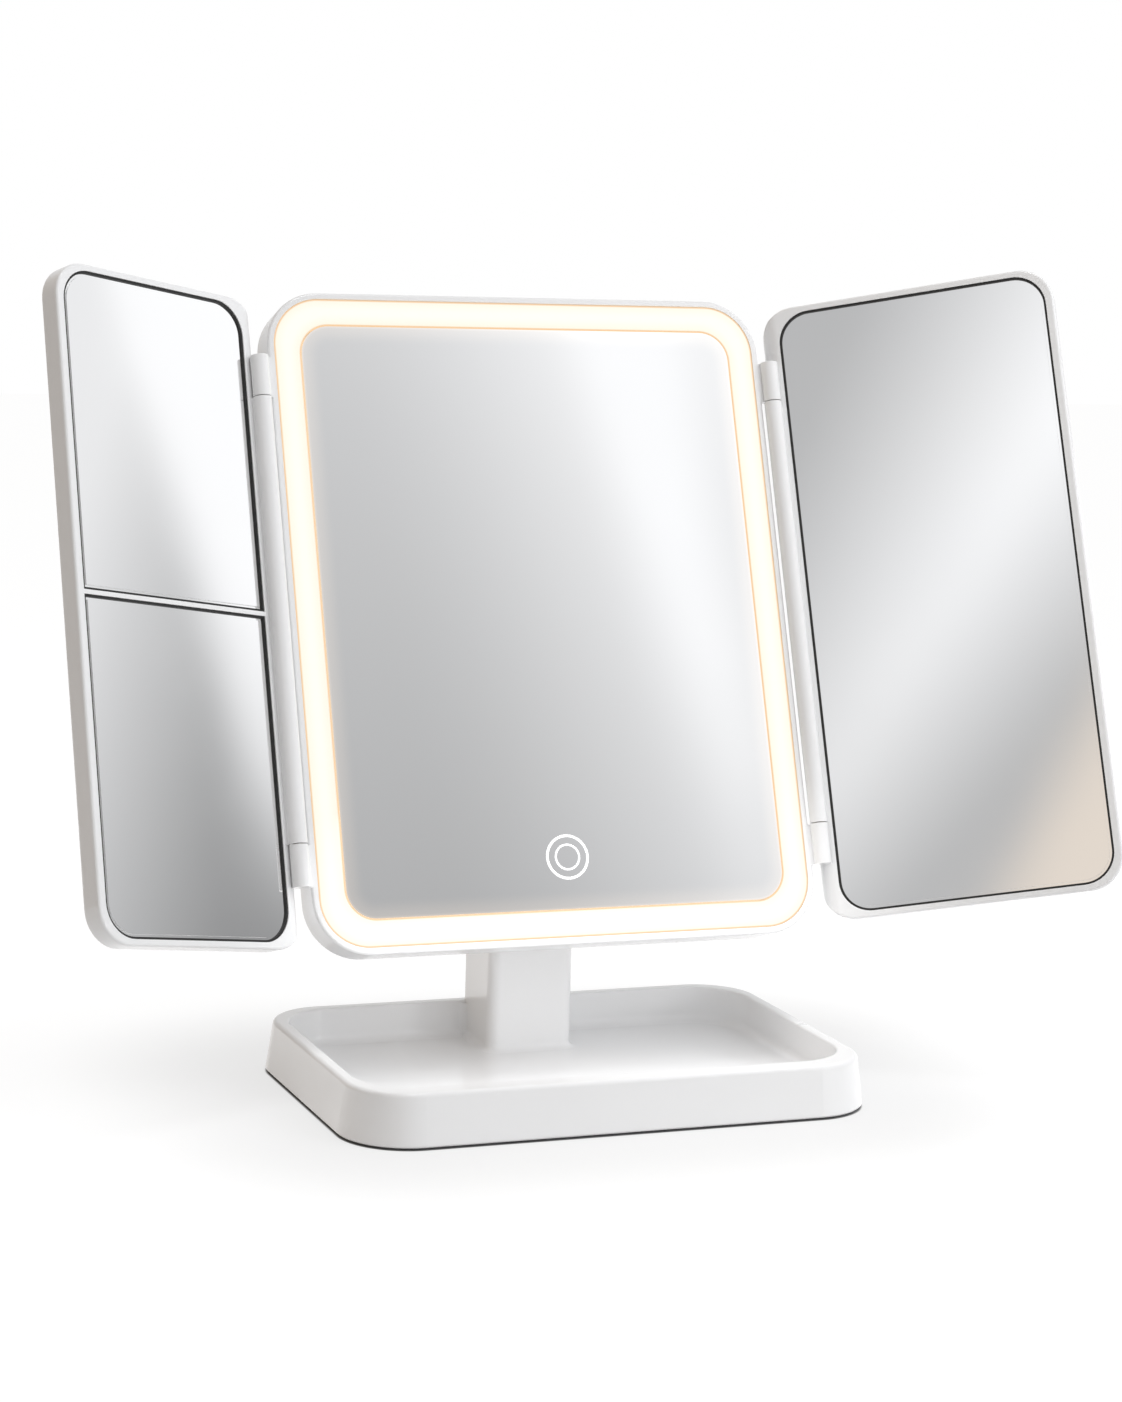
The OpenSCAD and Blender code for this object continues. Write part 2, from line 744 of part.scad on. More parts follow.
module cover_ribs() {
    x = panel_w / 2 - shell_wall;
    y = panel_h / 2 - shell_wall;
    for (side = [0, 1], end = [0, 1]) mirror([side, 0, 0]) mirror([0, end, 0]) {
        translate([x - rib_d, panel_h / 4 - rib_l / 2, cover_z]) cube([rib_d + shell_wall / 2, rib_l, rib_d]);
        translate([panel_w / 4 - rib_l / 2, y - rib_d, cover_z]) cube([rib_l, rib_d + shell_wall / 2, rib_d]);
    }
}

module centre_frame() {
    color("white") on_head() difference() {
        union() {
            difference() {
                soft_slab(panel_w, panel_h, panel_d, panel_r, front_edge_r, back_edge_r);
                plate(panel_w - 2 * shell_wall, panel_h - 2 * shell_wall, panel_r - shell_wall,
                      panel_d, -lip_t);
                plate(panel_w - 2 * bezel_w, panel_h - 2 * bezel_w, panel_r - bezel_w,
                      panel_d + over, over);
            }
            frame_knuckles();
            cover_ribs();
        }
        at_knuckles() translate([0, 0, -over]) cylinder(h = knuckle_l + 2 * over, r = pin_r);
    }
}

module light_tray() {
    inner = panel_w - 2 * pocket_inset;
    inner_h = panel_h - 2 * pocket_inset;
    color("white") on_head() difference() {
        union() {
            difference() {
                plate(panel_w - 2 * cavity_inset, panel_h - 2 * cavity_inset,
                      panel_r - cavity_inset, light_tray_t, tray_z);
                inset_ring(panel_w, panel_h, panel_r, channel_in, channel_out, channel_d + over,
                           tray_z + over);
                plate(inner, inner_h, inner_r, light_tray_t, tray_z - tray_skin);
            }
            at_cover_bosses() translate([0, 0, cover_z])
                cylinder(h = tray_z - cover_z - tray_skin / 2, r = boss_r);
        }
        cover_screws_at() screw_seat(cover_screw_r, cover_head_r, cover_head_t, cover_screw_l);
        translate([0, -touch_drop, tray_z - pad_t]) cylinder(h = pad_t + over, r = pad_r + slip);
        translate([0, -touch_drop, tray_back]) cylinder(h = light_tray_t, r = touch_spring_r + slip);
    }
}

module led_strip() {
    color("ivory") on_head()
        inset_ring(panel_w, panel_h, panel_r, channel_in + strip_slip, channel_out - strip_slip,
                   strip_t, tray_z - channel_d + strip_t);
}

module leds() {
    mid = (channel_in + channel_out) / 2;
    z = tray_z - channel_d + strip_t;
    rows = floor((panel_h - 2 * panel_r) / 2 / led_pitch);
    columns = floor((panel_w - 2 * panel_r) / 2 / led_pitch);
    color("gold") on_head() {
        for (x = [-1, 1], i = [-rows:rows])
            translate([x * (panel_w / 2 - mid) - led[1] / 2, i * led_pitch - led[0] / 2, z])
                cube([led[1], led[0], led[2]]);
        for (y = [-1, 1], i = [-columns:columns])
            translate([i * led_pitch - led[0] / 2, y * (panel_h / 2 - mid) - led[1] / 2, z])
                cube(led);
    }
}

module light_diffuser() {
    flange_top = -lip_t;
    color("lightyellow") on_head() difference() {
        union() {
            plate(panel_w - 2 * (bezel_w + gap), panel_h - 2 * (bezel_w + gap),
                  panel_r - bezel_w - gap, glass_t, glass_z);
            plate(panel_w - 2 * cavity_inset, panel_h - 2 * cavity_inset, panel_r - cavity_inset,
                  flange_top - tray_z, flange_top);
        }
        plate(mirror_w + 4 * gap, mirror_h + 4 * gap, mirror_r + 2 * gap, panel_d, over);
    }
}

module touch_rings(extra) {
    for (s = [[touch_ring_r, mark_line], [touch_dot_r, mark_inner_line]])
        translate([0, -touch_drop, glass_z - mark_depth])
            ring(s[0] + s[1] / 2, s[0] - s[1] / 2, mark_depth + extra);
}

module centre_mirror() {
    color("lightblue") on_head() difference() {
        plate(mirror_w, mirror_h, mirror_r, glass_t, glass_z);
        touch_rings(over);
    }
}

module touch_mark() {
    color("white") on_head() touch_rings(0);
}

module touch_pad() {
    color("orange") on_head() translate([0, -touch_drop, tray_z - pad_t])
        cylinder(h = pad_t, r = pad_r);
}

module touch_spring() {
    color("silver") on_head() translate([0, -touch_drop, tray_z - tray_skin])
        ring(touch_spring_r, touch_spring_r - spring_wall, tray_skin - pad_t);
}

module control_board() {
    z = tray_z - tray_skin;
    color("darkgreen") on_head() translate([0, -touch_drop, z]) union() {
        translate([-control[0] / 2, -control[1] / 2, -control[2]]) cube(control);
        for (x = [-1, 1])
            translate([x * chip_step - chip[0] / 2, -chip[1] / 2, -control[2] - chip[2]]) cube(chip);
    }
}

module wing_hinge_pins() {
    color("silver") on_head() at_knuckles() translate([0, 0, -seam - pin_grip])
        cylinder(h = knuckle_l + seam + pin_grip, r = pin_r);
}

// ---------- side panels ----------

// Corners of a glass pocket, as [left, right, bottom, top] in the panel's own middle frame
function full_glass(w) = [
    wing_hinge_border - w / 2, w / 2 - wing_border,
    wing_end_border - wing_h / 2, wing_h / 2 - wing_end_border
];
function upper_glass(w) = let (g = full_glass(w)) [g[0], g[1], divider_lift + divider_w / 2, g[3]];
function lower_glass(w) = let (g = full_glass(w)) [g[0], g[1], g[2], divider_lift - divider_w / 2];
function left_glasses() = [upper_glass(left_wing_w), lower_glass(left_wing_w)];
function right_glasses() = [full_glass(right_wing_w)];

// The outline of a glass, rounded only where the whole pocket has its round corners
module glass_outline(w, g, inset) {
    f = full_glass(w);
    intersection() {
        translate([(f[0] + f[1]) / 2, (f[2] + f[3]) / 2])
            round_rect(f[1] - f[0] - 2 * inset, f[3] - f[2] - 2 * inset, max(wing_glass_r - inset, inner_r));
        translate([g[0] + inset, g[2] + inset]) square([g[1] - g[0] - 2 * inset, g[3] - g[2] - 2 * inset]);
    }
}

module glass_layer(w, g, inset, t, top) {
    translate([0, 0, top - t]) linear_extrude(t) glass_outline(w, g, inset);
}

// Plan section of a side panel, rounded along its hinge edge
module wing_section(w) {
    translate([-w / 2 + wing_roll, -wing_d - over]) square([w - wing_roll + over, wing_d + 2 * over]);
    translate([-w / 2 - over, -wing_d - over]) square([wing_roll + 2 * over, wing_d + over - wing_roll]);
    translate([-w / 2 + wing_roll, -wing_roll]) circle(wing_roll);
}

module wing_screws_at(w) {
    for (x = [-w / 2 + wing_screw_in, w / 2 - wing_screw_out], y = [-1, 0, 1])
        translate([x, y * wing_screw_y, -wing_d]) mirror([0, 0, 1]) children();
}

module wing_frame(w, glasses) {
    difference() {
        union() {
            at_wing_face(w) difference() {
                intersection() {
                    soft_slab(w, wing_h, wing_d, wing_r, wing_front_r, wing_back_r);
                    rotate([90, 0, 0]) linear_extrude(wing_h + 2 * over, center = true) wing_section(w);
                }
                for (g = glasses) {
                    glass_layer(w, g, 0, pocket_d + over, over);
                    glass_layer(w, g, shelf_w, wing_d + 2 * over, over);
                }
                plate(w - 2 * back_inset + slip, wing_h - 2 * back_inset + slip, wing_r - back_inset,
                      back_t + over, -wing_d + back_t);
                wing_screws_at(w) screw_seat(wing_screw_r, wing_screw_head_r, wing_screw_head_t, wing_screw_l);
            }
            translate([0, barrel_half, 0]) rotate([90, 0, 0]) cylinder(h = 2 * barrel_half, r = barrel_r);
            translate([web_in, -barrel_half, -web_d]) cube([web_out - web_in, 2 * barrel_half, web_d]);
        }
        for (end = [0, 1]) mirror([0, end, 0])
            translate([0, barrel_half - pin_grip - over, 0]) rotate([-90, 0, 0])
                cylinder(h = pin_grip + 2 * over, r = pin_r + bushing_wall);
    }
}

module wing_mirror(w, g) {
    sink = -glass_sink;
    at_wing_face(w) union() {
        glass_layer(w, g, seal_w, wing_glass_t - bevel[1], sink - bevel[1]);
        glass_layer(w, g, seal_w + bevel[0], bevel[1], sink);
    }
}

module wing_seals(w, glasses) {
    at_wing_face(w) for (g = glasses) difference() {
        glass_layer(w, g, 0, glass_sink + wing_glass_t - seal_sink, -seal_sink);
        glass_layer(w, g, seal_w, wing_d, over);
    }
}

module wing_tape(w, glasses) {
    at_wing_face(w) for (g = glasses) difference() {
        glass_layer(w, g, 0, tape_t, tape_t - pocket_d);
        glass_layer(w, g, shelf_w, wing_d + over, over);
    }
}

module wing_back(w) {
    at_wing_face(w) difference() {
        plate(w - 2 * back_inset, wing_h - 2 * back_inset, wing_r - back_inset, back_t, -wing_d + back_t);
        wing_screws_at(w) screw_seat(wing_screw_r, wing_screw_head_r, wing_screw_head_t, wing_screw_l);
    }
}

module wing_screws(w) {
    at_wing_face(w) wing_screws_at(w)
        screw(wing_screw_r, wing_screw_head_r, wing_screw_head_t, wing_screw_l - 2 * run_gap);
}

module hinge_bushings() {
    for (end = [0, 1]) mirror([0, end, 0])
        translate([0, barrel_half - pin_grip - over, 0]) rotate([-90, 0, 0])
            ring(pin_r + bushing_wall, pin_r + run_gap, pin_grip + over);
}

module left_wing_frame() {
    color("white") on_wing(-1, left_fold) wing_frame(left_wing_w, left_glasses());
}

module left_upper_mirror() {
    color("lightblue") on_wing(-1, left_fold) wing_mirror(left_wing_w, upper_glass(left_wing_w));
}

module left_lower_mirror() {
    color("lightblue") on_wing(-1, left_fold) wing_mirror(left_wing_w, lower_glass(left_wing_w));
}

module left_mirror_seals() {
    color("black") on_wing(-1, left_fold) wing_seals(left_wing_w, left_glasses());
}

module left_mirror_tape() {
    color("dimgray") on_wing(-1, left_fold) wing_tape(left_wing_w, left_glasses());
}

module left_wing_back() {
    color("white") on_wing(-1, left_fold) wing_back(left_wing_w);
}

module left_wing_screws() {
    color("silver") on_wing(-1, left_fold) wing_screws(left_wing_w);
}

module left_hinge_bushings() {
    color("ivory") on_wing(-1, left_fold) hinge_bushings();
}

module right_wing_frame() {
    color("white") on_wing(1, right_fold) wing_frame(right_wing_w, right_glasses());
}

module right_mirror() {
    color("lightblue") on_wing(1, right_fold) wing_mirror(right_wing_w, full_glass(right_wing_w));
}

module right_mirror_seal() {
    color("black") on_wing(1, right_fold) wing_seals(right_wing_w, right_glasses());
}

module right_mirror_tape() {
    color("dimgray") on_wing(1, right_fold) wing_tape(right_wing_w, right_glasses());
}

module right_wing_back() {
    color("white") on_wing(1, right_fold) wing_back(right_wing_w);
}

module right_wing_screws() {
    color("silver") on_wing(1, right_fold) wing_screws(right_wing_w);
}

module right_hinge_bushings() {
    color("ivory") on_wing(1, right_fold) hinge_bushings();
}

base_tray();
base_bottom_plate();
ballast_plate();
rubber_foot_ring();
base_screws();
battery_cassette();
battery_cells();
battery_contacts();
battery_door();
power_board();
power_inlet();
tilt_bushing();
tilt_bracket();
bracket_screws();
tilt_bolt();
tilt_nut();
friction_washers();
hinge_caps();
rear_cover();
rear_cover_screws();
centre_frame();
light_tray();
led_strip();
leds();
light_diffuser();
centre_mirror();
touch_mark();
touch_pad();
touch_spring();
control_board();
wing_hinge_pins();
left_wing_frame();
left_upper_mirror();
left_lower_mirror();
left_mirror_seals();
left_mirror_tape();
left_wing_back();
left_wing_screws();
left_hinge_bushings();
right_wing_frame();
right_mirror();
right_mirror_seal();
right_mirror_tape();
right_wing_back();
right_wing_screws();
right_hinge_bushings();
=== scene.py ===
"""Looks of a lit trifold vanity mirror on a tray base, in metres, in the frame of its solids."""
import json
import math

import bpy
from mathutils import Matrix, Vector

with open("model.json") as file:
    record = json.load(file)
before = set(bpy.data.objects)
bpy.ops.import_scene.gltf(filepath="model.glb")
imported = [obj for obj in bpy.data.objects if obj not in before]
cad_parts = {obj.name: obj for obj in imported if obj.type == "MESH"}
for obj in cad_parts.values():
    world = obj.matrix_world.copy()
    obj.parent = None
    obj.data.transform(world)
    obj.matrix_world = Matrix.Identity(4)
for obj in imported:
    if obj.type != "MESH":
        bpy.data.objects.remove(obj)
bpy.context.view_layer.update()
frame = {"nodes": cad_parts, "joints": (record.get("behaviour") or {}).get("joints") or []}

MM = 0.001

# ---------- sizes and places, from the frame ----------

joints = {j["name"]: j for j in frame["joints"]}
UP = Vector(joints["left_wing_fold"]["axis"]).normalized()       # up along the panel
RIGHT = Vector((1, 0, 0))
OUT = RIGHT.cross(UP)                                            # out of the panel's front
LEFT_AXIS = Vector(joints["left_wing_fold"]["pos_m"])
RIGHT_AXIS = Vector(joints["right_wing_fold"]["pos_m"])
HINGE_OUT = 3.6 * MM                                             # hinge axis beyond the panel's edge
HINGE_FRONT = 1.0 * MM                                           # hinge axis in front of the panel
PANEL_MIDDLE = (LEFT_AXIS + RIGHT_AXIS) / 2 - OUT * HINGE_FRONT
PANEL_W = (RIGHT_AXIS - LEFT_AXIS).length - 2 * HINGE_OUT
PANEL_H = 231.5 * MM
BEZEL = 2.3 * MM
BAND = 9.6 * MM
BAND_OUTER_R = 17.2 * MM
BAND_INNER_R = 10.6 * MM
WING_EDGE = -2.4 * MM                                            # side panel's edge from its hinge axis
WING_SET = 2.6 * MM                                              # its front behind its hinge axis
LEFT_FOLD = math.radians(-joints["left_wing_fold"]["range_deg"][0])
RIGHT_FOLD = math.radians(-joints["right_wing_fold"]["range_deg"][0])
LEFT_FRONT = (RIGHT * math.sin(LEFT_FOLD) + OUT * math.cos(LEFT_FOLD)).normalized()
RIGHT_FRONT = (-RIGHT * math.sin(RIGHT_FOLD) + OUT * math.cos(RIGHT_FOLD)).normalized()
FOOT_W, FOOT_D, FOOT_R = 188 * MM, 127 * MM, 23.3 * MM           # the base's outline on the floor

# ---------- camera, fitted to the photograph's outlines ----------

IMAGE_W = 1122                                                   # pixels across the photograph
CAM_AZIMUTH, CAM_ELEVATION, CAM_ROLL = map(math.radians, (-21.41, 8.40, 1.82))
CAM_DISTANCE = 1.1297
CAM_SIDE, CAM_HEIGHT = -0.00409, 0.1354                          # what it points at
FOCAL_PX = 3303.75
SENSOR = 36.0
CAM_REACH = 50                                                   # how far it sees


def make_camera():
    side = Vector((math.cos(CAM_AZIMUTH), math.sin(CAM_AZIMUTH), 0))
    back = Vector((math.sin(CAM_AZIMUTH) * math.cos(CAM_ELEVATION),
                   -math.cos(CAM_AZIMUTH) * math.cos(CAM_ELEVATION), math.sin(CAM_ELEVATION)))
    up = back.cross(side)
    right = side * math.cos(CAM_ROLL) + up * math.sin(CAM_ROLL)
    top = up * math.cos(CAM_ROLL) - side * math.sin(CAM_ROLL)
    place = side * CAM_SIDE + Vector((0, 0, CAM_HEIGHT)) + back * CAM_DISTANCE
    data = bpy.data.cameras.new("camera")
    data.sensor_fit = "HORIZONTAL"
    data.sensor_width = SENSOR
    data.lens = FOCAL_PX / IMAGE_W * SENSOR
    data.clip_end = CAM_REACH
    camera = bpy.data.objects.new("camera", data)
    rows = [[right[i], top[i], back[i], place[i]] for i in range(3)]
    camera.matrix_world = Matrix(rows + [[0, 0, 0, 1]])
    bpy.context.scene.collection.objects.link(camera)
    bpy.context.scene.camera = camera
    return place


# ---------- sums in node trees ----------

class Sums:
    """Builds arithmetic out of nodes in one tree. Arguments are numbers or sockets."""

    def __init__(self, tree):
        self.tree = tree

    def put(self, value, socket):
        if isinstance(value, bpy.types.NodeSocket):
            self.tree.links.new(value, socket)
        else:
            socket.default_value = value

    def math(self, kind, *args):
        node = self.tree.nodes.new("ShaderNodeMath")
        node.operation = kind
        for arg, socket in zip(args, node.inputs):
            self.put(arg, socket)
        return node.outputs[0]

    def add(self, *args):
        total = args[0]
        for arg in args[1:]:
            total = self.math("ADD", total, arg)
        return total

    def sub(self, a, b):
        return self.math("SUBTRACT", a, b)

    def mul(self, a, b):
        return self.math("MULTIPLY", a, b)

    def div(self, a, b):
        return self.math("DIVIDE", a, b)

    def low(self, a, b):
        return self.math("MINIMUM", a, b)

    def high(self, a, b):
        return self.math("MAXIMUM", a, b)

    def vector(self, kind, a, b):
        node = self.tree.nodes.new("ShaderNodeVectorMath")
        node.operation = kind
        self.put(a, node.inputs[0])
        self.put(b, node.inputs[1])
        return node

    def dot(self, a, b):
        return self.vector("DOT_PRODUCT", a, b).outputs["Value"]

    def shift(self, a, b):
        """Place a as seen from place b"""
        return self.vector("SUBTRACT", a, b).outputs[0]

    def smooth(self, x, start, end):
        """0 at start and 1 at end, eased at both"""
        node = self.tree.nodes.new("ShaderNodeMapRange")
        node.interpolation_type = "SMOOTHSTEP"
        self.put(x, node.inputs["Value"])
        node.inputs["From Min"].default_value = min(start, end)
        node.inputs["From Max"].default_value = max(start, end)
        node.inputs["To Min"].default_value = 0 if start < end else 1
        node.inputs["To Max"].default_value = 1 if start < end else 0
        return node.outputs[0]

    def mix(self, factor, a, b):
        """Blends two colours"""
        node = self.tree.nodes.new("ShaderNodeMix")
        node.data_type = "RGBA"
        self.put(factor, node.inputs[0])
        for colour, socket in ((a, node.inputs[6]), (b, node.inputs[7])):
            self.put(colour if isinstance(colour, bpy.types.NodeSocket) else rgba(colour), socket)
        return node.outputs[2]

    def noise(self, scale, detail=2.0, where=None):
        node = self.tree.nodes.new("ShaderNodeTexNoise")
        node.inputs["Scale"].default_value = scale
        node.inputs["Detail"].default_value = detail
        if where is not None:
            self.put(where, node.inputs["Vector"])
        return node.outputs["Fac"]


def rgba(colour):
    if isinstance(colour, (int, float)):
        return (colour, colour, colour, 1)
    return tuple(colour) + (1,) if len(colour) == 3 else tuple(colour)


def outline_depth(s, u, v, half_w, half_h, radius):
    """Distance inside a rounded rectangle, negative outside"""
    qx = s.sub(s.math("ABSOLUTE", u), half_w - radius)
    qy = s.sub(s.math("ABSOLUTE", v), half_h - radius)
    px, py = s.high(qx, 0.0), s.high(qy, 0.0)
    corner = s.math("SQRT", s.add(s.mul(px, px), s.mul(py, py)))
    return s.sub(radius, s.add(corner, s.low(s.high(qx, qy), 0.0)))


# ---------- the cards that the mirrors reflect ----------

# Each mirror sees its own soft card in the room. A card is drawn in the millimetres of the
# mirror it shows in, u across and v up, measured from the mirror image of the camera's place.
# Its levels are those of a picture, from 0 to FULL.

FULL = 255.0
GAMMA = 2.2
MIRROR_TINT = 0.90
CARD_SPREAD = (20, 13)                                           # degrees from its middle, none to all of it
CARD_TINT = (0.995, 0.998, 1.006)
WARM_LEVELS = (227, 216, 204)                                    # the right card's lower right corner
WARM_LEAN = 0.65
WARM_FROM = 128.0
WARM_BLEND = (-8, 24)


def card_place(s, ray, place, origin, across, up, normal):
    reach = (place - origin).dot(normal) / MM
    along = s.dot(ray, normal)
    u = s.add(s.mul(s.div(s.dot(ray, across), along), reach), (place - origin).dot(across) / MM)
    v = s.add(s.mul(s.div(s.dot(ray, up), along), reach), (place - origin).dot(up) / MM)
    # the ray through the mirror's middle, to know where in the room the card hangs
    view = (origin - place).normalized()
    middle = view - 2 * view.dot(normal) * normal
    none, whole = (math.cos(math.radians(angle)) for angle in CARD_SPREAD)
    near = s.smooth(s.dot(ray, middle.normalized()), none, whole)
    return u, v, near


def centre_card(s, u, v):
    """A tall soft beam right of the middle, which fades downward"""
    ground, ground_rise = 191.5, 0.15                            # at the middle, and for each mm up
    lean, middle = 0.16, 11.0                                    # of the beam's line
    slope, slope_across = 40.0, (-77, 52)                        # added toward the right
    beam, beam_in, beam_out, beam_up = 36.0, (11, 63), (76, 33), (-136, 0)
    corner, corner_right, corner_down = 8.0, (45, 80), (40, -60)
    w = s.add(u, s.mul(v, lean), -middle)
    base = s.add(s.mul(v, ground_rise), ground)
    rise = s.mul(s.smooth(w, *slope_across), slope)
    core = s.mul(s.smooth(w, *beam_in), s.smooth(w, *beam_out))
    core = s.mul(core, s.mul(s.smooth(v, *beam_up), beam))
    side = s.mul(s.mul(s.smooth(u, *corner_right), s.smooth(v, *corner_down)), corner)
    return s.add(base, rise, core, side)


def left_card(s, u, v):
    """A white beam from the upper left that narrows to the hinge"""
    ground, ground_rise, ground_most = 199.0, 0.356, 235.0
    edge, edge_rise, edge_from = 39.0, 0.86, 55.0                # lighter toward the panel's outer edge
    beam, lean, beam_across, beam_up = 70.0, 0.227, (49, 19), (-131, -41)
    outward = s.mul(s.sub(s.high(u, edge), edge_from), edge_rise)
    base = s.low(s.add(s.mul(v, ground_rise), outward, ground), ground_most)
    core = s.smooth(s.sub(u, s.mul(v, lean)), *beam_across)
    fade = s.smooth(v, *beam_up)
    return s.add(base, s.mul(s.mul(core, fade), beam))


def right_card(s, u, v):
    """A broad beam from lower left to upper right"""
    peak, rise, least = 242.5, 0.19, 183.0
    lean, middle = 0.828, 60.0                                   # of the beam's line
    core, fall = 12.0, 0.79                                      # its round top, and its sides for each mm
    w = s.sub(s.sub(u, s.mul(v, lean)), middle)
    off = s.sub(s.math("SQRT", s.add(s.mul(w, w), core ** 2)), core)
    return s.high(s.sub(s.add(s.mul(v, rise), peak), s.mul(off, fall)), least)


def card_colour(s, card, u, v):
    """What the camera has to meet in the room, for the card's levels to show in the glass"""
    share = s.div(s.low(card(s, u, v), FULL), FULL)
    light = s.div(s.math("POWER", share, GAMMA), MIRROR_TINT)
    shade = s.tree.nodes.new("ShaderNodeCombineColor")
    for tint, socket in zip(CARD_TINT, shade.inputs):
        s.put(s.mul(light, tint), socket)
    return shade.outputs[0]


def warm_corner(s, colour, u, v):
    past = s.sub(s.sub(u, s.mul(v, WARM_LEAN)), WARM_FROM)
    warm = [(level / FULL) ** GAMMA / MIRROR_TINT for level in WARM_LEVELS]
    return s.mix(s.smooth(past, *WARM_BLEND), colour, warm)


# ---------- the room ----------

FILL_LEFT = (0.46, 0.36, 0.26)
FILL_FRONT = (0.72, 0.730, 0.748)
FILL_BACK = (0.82, 0.822, 0.83)
FILL_TOP = (0.56, 0.565, 0.575)
FILL_DIM = (0.22, 0.21, 0.20)                                    # the dim side that the camera stands on
FILL_DIM_AT = (-0.68, -0.73, 0.0)
ROOM_PALE = (0.86, 0.86, 0.86)                                   # what glass and metal show of the room
ROOM_LEFT = (0.50, 0.42, 0.35)

# where each blend starts and ends, as the ray's share in that direction
BACK_BLEND = (0.4, -0.5)
TOP_BLEND = (0.1, 0.9)
LEFT_BLEND = (-0.35, -0.80)
DIM_BLEND = (0.62, 0.95)
ROOM_BLEND = (-0.1, -0.6)


def make_room(place):
    world = bpy.data.worlds.new("room")
    bpy.context.scene.world = world
    world.use_nodes = True
    tree = world.node_tree
    tree.nodes.clear()
    s = Sums(tree)
    ray = tree.nodes.new("ShaderNodeTexCoord").outputs["Generated"]

    # light that falls on the object: white from above, behind and the right, warm from the left
    side = s.dot(ray, tuple(RIGHT))
    front = s.dot(ray, (0.0, -1.0, 0.0))
    height = s.dot(ray, (0.0, 0.0, 1.0))
    fill = s.mix(s.smooth(front, *BACK_BLEND), FILL_FRONT, FILL_BACK)
    fill = s.mix(s.smooth(height, *TOP_BLEND), fill, FILL_TOP)
    fill = s.mix(s.smooth(side, *LEFT_BLEND), fill, FILL_LEFT)
    fill = s.mix(s.smooth(s.dot(ray, FILL_DIM_AT), *DIM_BLEND), fill, FILL_DIM)

    # what shines in the object: a pale room with the three cards in it
    left_u = (-RIGHT * math.cos(LEFT_FOLD) + OUT * math.sin(LEFT_FOLD)).normalized()
    right_u = (RIGHT * math.cos(RIGHT_FOLD) + OUT * math.sin(RIGHT_FOLD)).normalized()
    left_o = LEFT_AXIS + left_u * WING_EDGE - LEFT_FRONT * WING_SET
    right_o = RIGHT_AXIS + right_u * WING_EDGE - RIGHT_FRONT * WING_SET
    glow = s.mix(s.smooth(side, *ROOM_BLEND), ROOM_PALE, ROOM_LEFT)
    for origin, across, normal, card in (
            (PANEL_MIDDLE, RIGHT, OUT, centre_card),
            (left_o, left_u, LEFT_FRONT, left_card),
            (right_o, right_u, RIGHT_FRONT, right_card)):
        u, v, near = card_place(s, ray, place, origin, across, UP, normal)
        colour = card_colour(s, card, u, v)
        if card is right_card:
            colour = warm_corner(s, colour, u, v)
        glow = s.mix(near, glow, colour)

    path = tree.nodes.new("ShaderNodeLightPath")
    through = s.high(path.outputs["Is Glossy Ray"], path.outputs["Is Transmission Ray"])
    colour = s.mix(through, fill, glow)
    colour = s.mix(path.outputs["Is Camera Ray"], colour, (1.0, 1.0, 1.0))
    background = tree.nodes.new("ShaderNodeBackground")
    s.put(colour, background.inputs["Color"])
    background.inputs["Strength"].default_value = 1.0
    out = tree.nodes.new("ShaderNodeOutputWorld")
    tree.links.new(background.outputs[0], out.inputs["Surface"])


# name, place, what it points at, width, depth, watts, and whether it shines in glossy faces. The far
# ones hang where no mirror shows them to the camera, and the near ones show in none.
LAMPS = (
    ("key", (0.44, -0.37, 0.58), (0.0, 0.0, 0.10), 0.35, 0.35, 1.2, False),
    ("front", (0.92, -1.18, 0.25), (0.0, 0.0, 0.10), 0.25, 0.25, 2.0, True),
    ("top", (0.10, -0.32, 1.75), (0.0, 0.0, 0.10), 0.40, 0.40, 5.0, True),
    ("tray", (0.0, -0.030, 0.075), (0.01, 0.04, 0.0), 0.17, 0.07, 0.042, False),
    ("low", (0.02, -0.20, 0.055), (0.0, 0.04, 0.01), 0.30, 0.03, 0.020, False),
)


def make_lamps():
    for name, place, aim, width, depth, power, shines in LAMPS:
        data = bpy.data.lights.new(name, "AREA")
        data.shape = "RECTANGLE"
        data.size = width
        data.size_y = depth
        data.energy = power
        lamp = bpy.data.objects.new(name, data)
        lamp.location = place
        view = Vector(aim) - Vector(place)
        lamp.rotation_euler = view.to_track_quat("-Z", "Y").to_euler()
        lamp.visible_camera = False
        lamp.visible_glossy = shines
        bpy.context.scene.collection.objects.link(lamp)


FLOOR_HALF = 4.0
FLOOR_ROUGHNESS = 0.9
FLOOR_PALE = 0.72                                                # as it lights the object
FLOOR_GREY = 0.24                                                # as the camera sees its shading
FLOOR_LIFT_IN_PAINTED_SHADOW = 0.68                                                # added to that, next to the base, lower than far off: a painted shadow round the base
FLOOR_FAR_LIFT = 0.85                                            # and far from it
PAINTED_SHADOW_SPAN = (-4 * MM, -90 * MM)                                 # where the painted shadow fades out, measured inward from the base's outline
LIFT_STARTS = (0.6 * MM, -0.4 * MM)


